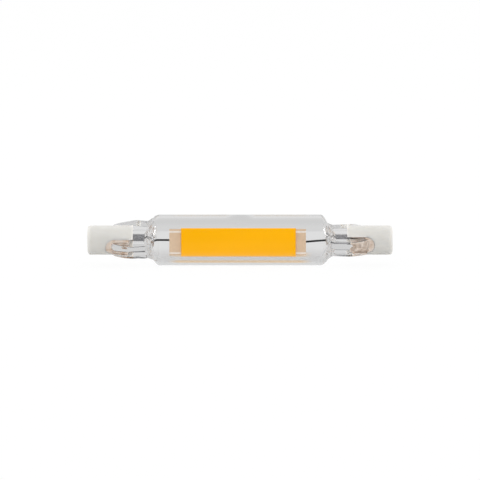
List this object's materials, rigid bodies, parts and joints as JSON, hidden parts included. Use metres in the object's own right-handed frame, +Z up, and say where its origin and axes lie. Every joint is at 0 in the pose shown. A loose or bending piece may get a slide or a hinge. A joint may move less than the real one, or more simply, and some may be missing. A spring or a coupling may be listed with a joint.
{
  "type": "linear led bulb",
  "caption": "Slim double-ended lamp: a clear glass tube with flattened ends holds a yellow-coated light board; ceramic end caps with sunk contacts sit between sprung holders.",
  "frame": {"origin": "middle of the glass tube, on its axis", "axes": "+X along the lamp to the right end, +Z up, the light face of the board towards -Y"},
  "size_m": [0.078, 0.013, 0.013],
  "materials": {
    "glass": "clear, fire-polished",
    "board_ceramic": "matt tan ceramic",
    "printed_silver": "fired silver print",
    "die": "polished crystal",
    "phosphor": "satin yellow silicone",
    "package": "moulded black",
    "resistor": "dark glaze",
    "solder": "bright solder",
    "lead_wire": "dull drawn wire",
    "foil": "grey rolled foil",
    "cap_ceramic": "unglazed off-white",
    "contact_metal": "plated, satin",
    "cement": "rough tan cement"
  },
  "bodies": {
    "root": {"glass_envelope": "glass", "led_board": "board_ceramic", "front_tracks": "printed_silver", "back_tracks": "printed_silver", "led_chips": "die", "phosphor_coat": "phosphor", "bridge_rectifier": "package", "current_regulator": "package", "fuse_resistor": "resistor", "set_resistors": "resistor", "solder_joints": "solder", "inner_lead_left": "lead_wire", "inner_lead_right": "lead_wire", "seal_foil_left": "foil", "seal_foil_right": "foil", "outer_lead_left": "lead_wire", "outer_lead_right": "lead_wire", "cap_left": "cap_ceramic", "cap_right": "cap_ceramic", "contact_left": "contact_metal", "contact_right": "contact_metal", "cement_left": "cement", "cement_right": "cement"}
  },
  "joints": []
}
